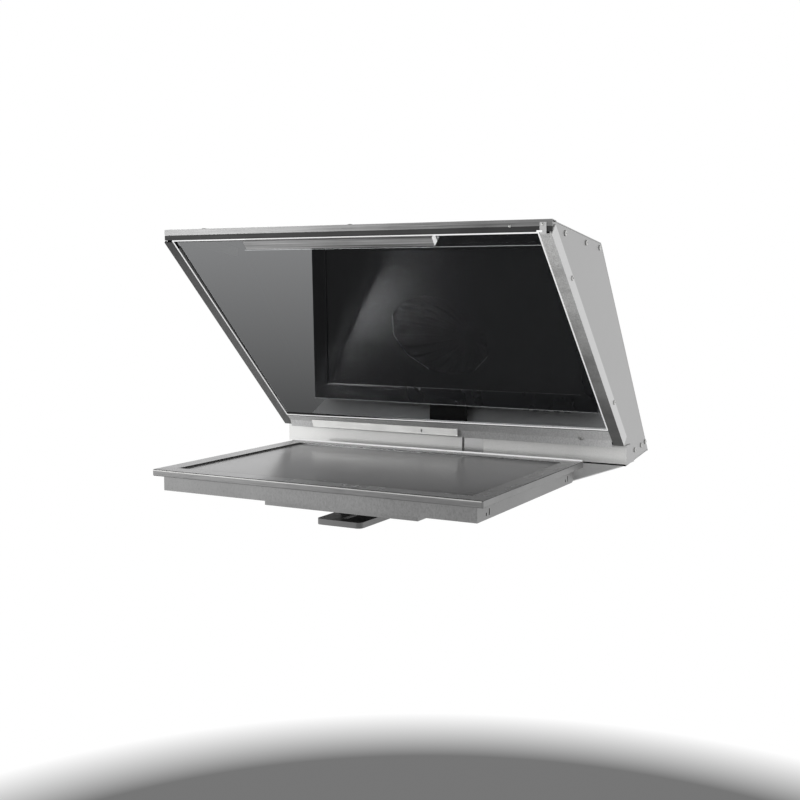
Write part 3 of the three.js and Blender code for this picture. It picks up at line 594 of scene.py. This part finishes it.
def lathe(name, profile, segments=48, radius_at=None):
    """Turns a profile of (radius, height) about Z, and caps its two ends. radius_at may vary the
    radius with the angle."""
    vertices = []
    for radius, height in profile:
        for s in range(segments):
            angle = 2 * math.pi * s / segments
            r = radius * (radius_at(angle, radius, height) if radius_at else 1.0)
            vertices.append((r * math.cos(angle), r * math.sin(angle), height))
    faces = ring_faces(len(profile), segments)
    faces.append(tuple(range(segments))[::-1])
    top = (len(profile) - 1) * segments
    faces.append(tuple(range(top, top + segments)))
    return mesh_from(name, vertices, faces)


def placed(mesh, matrix):
    copy = mesh.copy()
    copy.transform(matrix)
    return copy


def rounded(points, radius, steps=4):
    """A profile with its inner corners rounded by short arcs."""
    out = [points[0]]
    for before, corner, after in zip(points, points[1:], points[2:]):
        c = Vector(corner)
        a, b = Vector(before) - c, Vector(after) - c
        reach = min(radius, a.length * 0.45, b.length * 0.45)
        start, end = c + a.normalized() * reach, c + b.normalized() * reach
        for i in range(steps + 1):
            t = i / steps
            out.append(tuple(start * (1 - t) ** 2 + c * 2 * t * (1 - t) + end * t * t))
    out.append(points[-1])
    return out


def crossed_head(name, radius, height):
    """A pan-head screw with a cross recess."""
    dome = [(radius, 0), (radius, height * 0.25)]
    for i in range(1, 9):
        t = i / 8 * math.pi / 2
        dome.append((max(radius * math.cos(t), radius * 0.02), height * (0.25 + 0.75 * math.sin(t))))
    head = lathe(name, dome, 32)
    holder = bpy.data.objects.new("head", head)
    arms = bmesh.new()
    for turn in (0, math.pi / 2):
        arm = bmesh.new()
        bmesh.ops.create_cube(arm, size=1.0)
        for v in arm.verts:
            taper = 1.0 if v.co.z > 0 else 0.35
            v.co = Vector((v.co.x * radius * 1.15 * taper, v.co.y * radius * 0.24, v.co.z * height * 1.4))
        arm.transform(Matrix.Translation((0, 0, height * 1.0)) @ Matrix.Rotation(turn, 4, "Z"))
        scratch = bpy.data.meshes.new("arm")
        arm.to_mesh(scratch)
        arms.from_mesh(scratch)
        arm.free()
    cutter_mesh = bpy.data.meshes.new("arms")
    arms.to_mesh(cutter_mesh)
    arms.free()
    cutter = bpy.data.objects.new("arms", cutter_mesh)
    for obj in (holder, cutter):
        bpy.context.scene.collection.objects.link(obj)
    cut = holder.modifiers.new("cut", "BOOLEAN")
    cut.object = cutter
    cut.solver = "EXACT"
    cut.use_self = True
    result = bpy.data.meshes.new_from_object(holder.evaluated_get(bpy.context.evaluated_depsgraph_get()))
    bpy.data.objects.remove(holder)
    bpy.data.objects.remove(cutter)
    result.name = name
    result.materials.clear()
    result.materials.append(MATERIALS["screw"])
    return result


def make_screws():
    head = crossed_head("pan_head", SCREW_RADIUS, SCREW_HEIGHT)
    spins = random.Random(7)

    def put(name, place, normal, scale=1.0, replaced=()):
        matrix = turned(place, normal, spins.uniform(0, math.pi)) @ Matrix.Scale(scale, 4)
        piece(name, placed(head, matrix), "screw", "prompter", replaced)

    for name in [n for n in nodes if n.startswith("screw_")]:
        low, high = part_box(name)
        sign = 1 if low.x > 0 else -1
        centre = (low + high) / 2
        put(name.replace("screw", "head"), (low.x if sign > 0 else high.x, centre.y, centre.z),
            X * sign, replaced=(name,))

    for side, sign in (("left", -1), ("right", 1)):
        for i, (along, depth) in enumerate(((0.1038, 15.2 * MM), (0.3885, 16 * MM))):
            place = on_slope(sign * HALF_WIDTH, along, depth)
            put(f"leg_screw_{side}_{i}", place, X * sign, 0.9)
    for i, x in enumerate((-262, 11)):
        place = Vector((x * MM, LIP_LOW.y + 9 * MM, LIP_HIGH.z - 1.0 * MM))
        put(f"lip_screw_{i}", place, Z, 1.15)
    put("lip_face_screw", Vector((273 * MM, LIP_LOW.y, LIP_LOW.z + 1.0 * MM)), -Y, 0.5)
    put("corner_screw", Vector((322 * MM, LIP_LOW.y - 0.8 * MM, LIP_LOW.z + 2.5 * MM)), -Y, 0.5)
    put("foot_screw", on_slope(265 * MM, 469 * MM, -0.5 * MM), -INTO_HOOD, 1.1)


def make_glazing():
    """The pale bead round the glass, whose white glows a little. Its foot climbs to the right, with a black
    strip of painted shadow under it and then a strip of tape in the wedge below it."""
    across = 317.4 * MM
    top, foot_left, foot_right = -1.6 * MM, 455.5 * MM, 443.5 * MM
    width, front, back = 1.7 * MM, -0.9 * MM, 0.8 * MM
    corners = []
    for d in (0.0, width):
        corners.append([(-across + d, top + d), (across - d, top + d),
                        (across - d, foot_right - d), (-across + d, foot_left - d)])
    vertices = []
    for loop, depth in ((0, back), (0, front), (1, front), (1, back)):
        vertices += [on_slope(x, along, depth) for x, along in corners[loop]]
    mesh = mesh_from("glazing_bead", vertices, ring_faces(4, 4, closed=True), smooth=False)
    fix_normals(mesh)
    glowing_white = piece("glazing_bead", mesh, "glowing_white", "prompter")
    bevel = glowing_white.modifiers.new("edges", "BEVEL")
    bevel.width = 0.5 * MM
    bevel.segments = 2

    def band(name, left, right, foot, material):
        """A thin strip between a line that climbs to the right and a level foot."""
        outline = [(-across, left), (across, right), (across, foot[1]), (-across, foot[0])]
        near, far = ([on_slope(x, along, depth * MM) for x, along in outline] for depth in (-0.5, -0.05))
        piece(name, prism(name, near, far), material, "prompter")

    upper, lower, level = 0.3 * MM, 1.7 * MM, foot_left + 4 * MM
    # Painted shadow: a black strip just under the bead's foot.
    band("bead_painted_shadow", foot_left + upper, foot_right + upper,
         (foot_left + lower, foot_right + lower), "inside")
    band("foot_tape", foot_left + lower, foot_right + lower, (level, level), "tape")


def make_foot_lip():
    """The lower lip of the glass frame's bottom member, bent down in front of the riser."""
    reach, length, thickness, tilt = 317 * MM, 13.5 * MM, 0.8 * MM, 0.42
    bend = SLOPE_LENGTH - length
    run, drop = length * math.cos(tilt), length * math.sin(tilt)
    outline = [(bend, 0), (bend + run, -drop), (bend + run, thickness - drop), (bend, thickness)]
    near, far = ([on_slope(x, along, depth) for along, depth in outline] for x in (-reach, reach))
    piece("foot_lip", prism("foot_lip", near, far), "frame_foot", "prompter")


def prism(name, near, far):
    """A solid between two four-cornered outlines."""
    faces = ring_faces(2, 4) + [(3, 2, 1, 0), (4, 5, 6, 7)]
    mesh = mesh_from(name, near + far, faces, smooth=False)
    fix_normals(mesh)
    return mesh


def fix_normals(mesh):
    shape = bmesh.new()
    shape.from_mesh(mesh)
    bmesh.ops.recalc_face_normals(shape, faces=shape.faces[:])
    shape.to_mesh(mesh)
    shape.free()


def knob_meshes():
    radius, height = KNOB_RADIUS, KNOB_HEIGHT
    profile = rounded([(2 * MM, -height), (radius * 0.62, -height), (radius, -height + 2.5 * MM),
                       (radius, -3.5 * MM), (radius * 0.6, -1.2 * MM), (radius * 0.5, -0.1 * MM),
                       (4 * MM, -0.1 * MM)], 2.2 * MM)

    def lobes(angle, r, _):
        share = max(0.0, r / radius - 0.6) / 0.4
        return 1 - share * 0.16 * (0.5 - 0.5 * math.cos(6 * angle))

    body = lathe("knob_body", profile, 96, lobes)
    cap = lathe("knob_cap", rounded([(0.5 * MM, -height - 0.6 * MM), (7 * MM, -height - 0.6 * MM),
                                     (7.6 * MM, -height + 0.2 * MM), (0.5 * MM, -height + 0.2 * MM)],
                                    0.4 * MM), 48)
    return body, cap


def thread(name, radius, start, end, pitch):
    """A threaded rod about Z."""
    segments, per_turn = 24, 6
    rings = max(4, round((end - start) / pitch * per_turn))
    vertices = []
    for r in range(rings + 1):
        z = start + (end - start) * r / rings
        for s in range(segments):
            phase = (z / pitch - s / segments) % 1.0
            fade = min(1.0, r / 6, (rings - r) / 6)
            reach = radius - abs(phase - 0.5) * 2 * pitch * 0.5 * fade - (1 - fade) * pitch * 0.25
            angle = 2 * math.pi * s / segments
            vertices.append((reach * math.cos(angle), reach * math.sin(angle), z))
    faces = ring_faces(rings + 1, segments)
    faces.append(tuple(range(segments))[::-1])
    faces.append(tuple(range(rings * segments, (rings + 1) * segments)))
    return mesh_from(name, vertices, faces)


def make_knobs():
    body, cap = knob_meshes()
    places = {
        "hood_lock": ("hood_lock_knob", Z),
        "carriage_lock": ("carriage_lock_knob", Z),
        "height_lock_left": ("height_knob_left", X),
        "height_lock_right": ("height_knob_right", -X),
    }
    for owner, (node, stud) in places.items():
        low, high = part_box(node)
        centre = (low + high) / 2
        reach = [abs(c) for c in stud].index(1.0)
        outer = low[reach] if stud[reach] > 0 else high[reach]
        face = centre.copy()
        face[reach] = outer + stud[reach] * KNOB_HEIGHT
        inner = high[reach] if stud[reach] > 0 else low[reach]
        matrix = turned(face, stud)
        piece(f"{owner}_grip", placed(body, matrix), "knob", owner, (node,))
        piece(f"{owner}_cap", placed(cap, matrix), "screw", owner)
        rod = thread(f"{owner}_stud", 4 * MM, -0.3 * MM, abs(inner - face[reach]), 1.25 * MM)
        piece(f"{owner}_stud", placed(rod, matrix), "screw", owner)


def make_camera_screw():
    low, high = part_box("camera_screw")
    centre = (low + high) / 2
    head_top = low.z + 8 * MM
    profile = rounded([(1 * MM, 0), (8.5 * MM, 0), (10 * MM, 1.4 * MM), (10 * MM, 6.6 * MM),
                       (8.5 * MM, 8 * MM), (3 * MM, 8 * MM)], 0.5 * MM)

    def knurl(angle, r, _):
        return 1 - (0.035 if r > 9.6 * MM else 0.0) * (0.5 - 0.5 * math.cos(40 * angle))

    head = lathe("knurled_head", profile, 240, knurl)
    head.transform(Matrix.Translation((centre.x, centre.y, low.z)))
    piece("camera_screw_head", head, "screw", "camera_bolt", ("camera_screw",))
    rod = thread("camera_screw_thread", 3.1 * MM, -1 * MM, high.z - head_top, 1.27 * MM)
    rod.transform(Matrix.Translation((centre.x, centre.y, head_top)))
    piece("camera_screw_thread", rod, "screw", "camera_bolt")
    low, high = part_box("camera_screw_washer")
    thickness = high.z - low.z
    ring = [(3.4 * MM, 0), (8 * MM, 0), (8 * MM, thickness), (3.4 * MM, thickness)]
    vertices = []
    for radius, height in rounded(ring + [ring[0]], 0.25 * MM)[:-1]:
        vertices += [(radius * math.cos(a), radius * math.sin(a), height)
                     for a in (2 * math.pi * s / 48 for s in range(48))]
    washer = mesh_from("washer", vertices, ring_faces(len(vertices) // 48, 48, closed=True))
    fix_normals(washer)
    washer.transform(Matrix.Translation((centre.x, centre.y, low.z)))
    piece("screw_washer_ring", washer, "screw", "screw_washer", ("camera_screw_washer",))


def make_strips():
    """Small plates: the right member's tab on the fascia and the glowing white stop under it, painted
    highlights along the front and rear edges of the monitor's top, and the black tape that keeps light out
    of the roof's rear seam."""
    def strip(name, low, high, material):
        mesh = box_mesh(name, Vector(low) * MM, Vector(high) * MM, bevel=0.1 * MM)
        piece(name, mesh, material, "prompter")

    front, roof, slope = LIP_LOW.y / MM, LIP_HIGH.z / MM, SLOPE_TOP.z / MM
    strip("corner_tab", (317.5, front - 0.9, slope - 2), (327.5, front - 0.1, roof - 4),
          "leg_painted_light")
    strip("corner_stop", (313.5, front - 2.2, slope + 1), (321.5, front + 0.4, slope + 3.8),
          "glowing_white")
    low, high = (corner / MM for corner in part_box("monitor_bezel"))
    # Painted highlights: a bright strip on the bezel's front top edge and a glowing white one on its rear
    # top edge.
    strip("bezel_front_highlight", (low.x + 2, low.y - 0.3, high.z - 2.3), (high.x - 2, low.y, high.z - 0.7),
          "bright")
    strip("bezel_rear_highlight", (low.x + 2, high.y - 1.25, high.z - 0.5),
          (high.x - 2, high.y - 1.0, high.z + 2.2), "glowing_white")
    low, high = (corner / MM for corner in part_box("hood_back"))
    strip("seam_tape", (low.x + 5, low.y - 4, high.z - 5.5), (high.x - 5, low.y + 0.6, high.z - 1.2),
          "inside")


def make_sleeve():
    """The gathered cloth sleeve: pleats that deepen towards a neck its elastic draws shut."""
    root_low, root_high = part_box("lens_ring")
    neck_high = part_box("lens_sleeve")[1]
    centre = (root_low + root_high) / 2
    root_radius = (root_high.x - root_low.x) / 2 - 4 * MM
    neck = Vector((0, neck_high.y - 4 * MM, centre.z - 5 * MM))
    pleats, segments, rings = 26, 260, 30
    ring_tilt = math.radians(38.4)
    uneven = random.Random(4)
    depths = [uneven.uniform(0.55, 1.0) for _ in range(pleats)]
    offsets = [uneven.uniform(-0.3, 0.3) for _ in range(pleats)]
    vertices = []
    for ring in range(rings + 1):
        t = ring / rings
        middle = centre.lerp(neck, t)
        tilt = ring_tilt * (1 - t)
        fullness = math.sin(math.pi * min(1.0, t * 0.9)) ** 0.7
        radius = root_radius * (1 - t) ** 0.62 + 1.4 * MM
        if t < 0.06:
            radius = root_radius
        depth = 0.16 * radius * min(1.0, t * 3) * (0.4 + 0.6 * fullness)
        for s in range(segments):
            share = s / segments * pleats
            which = int(share) % pleats
            wave = math.cos(2 * math.pi * (share + offsets[which] * t * (1 - t)))
            r = radius + depth * depths[which] * wave * 0.5
            angle = 2 * math.pi * s / segments
            across, up = r * math.cos(angle), r * math.sin(angle)
            vertices.append(middle + X * across + Vector((0, -math.sin(tilt), math.cos(tilt))) * up)
    faces = ring_faces(rings + 1, segments)
    faces.append(tuple(range(rings * segments, (rings + 1) * segments)))
    mesh = mesh_from("sleeve", vertices, faces)
    fix_normals(mesh)
    obj = piece("sleeve_cloth", mesh, "cloth", "prompter", ("lens_sleeve",))
    wall = obj.modifiers.new("cloth", "SOLIDIFY")
    wall.thickness = 0.8 * MM
    wall.offset = 0
    mesh.materials.append(MATERIALS["inside"])
    wall.material_offset = 1
    wall.material_offset_rim = 1


make_camera()
paint_cad()
make_stage()
make_screws()
make_glazing()
make_foot_lip()
make_knobs()
make_camera_screw()
make_strips()
make_sleeve()
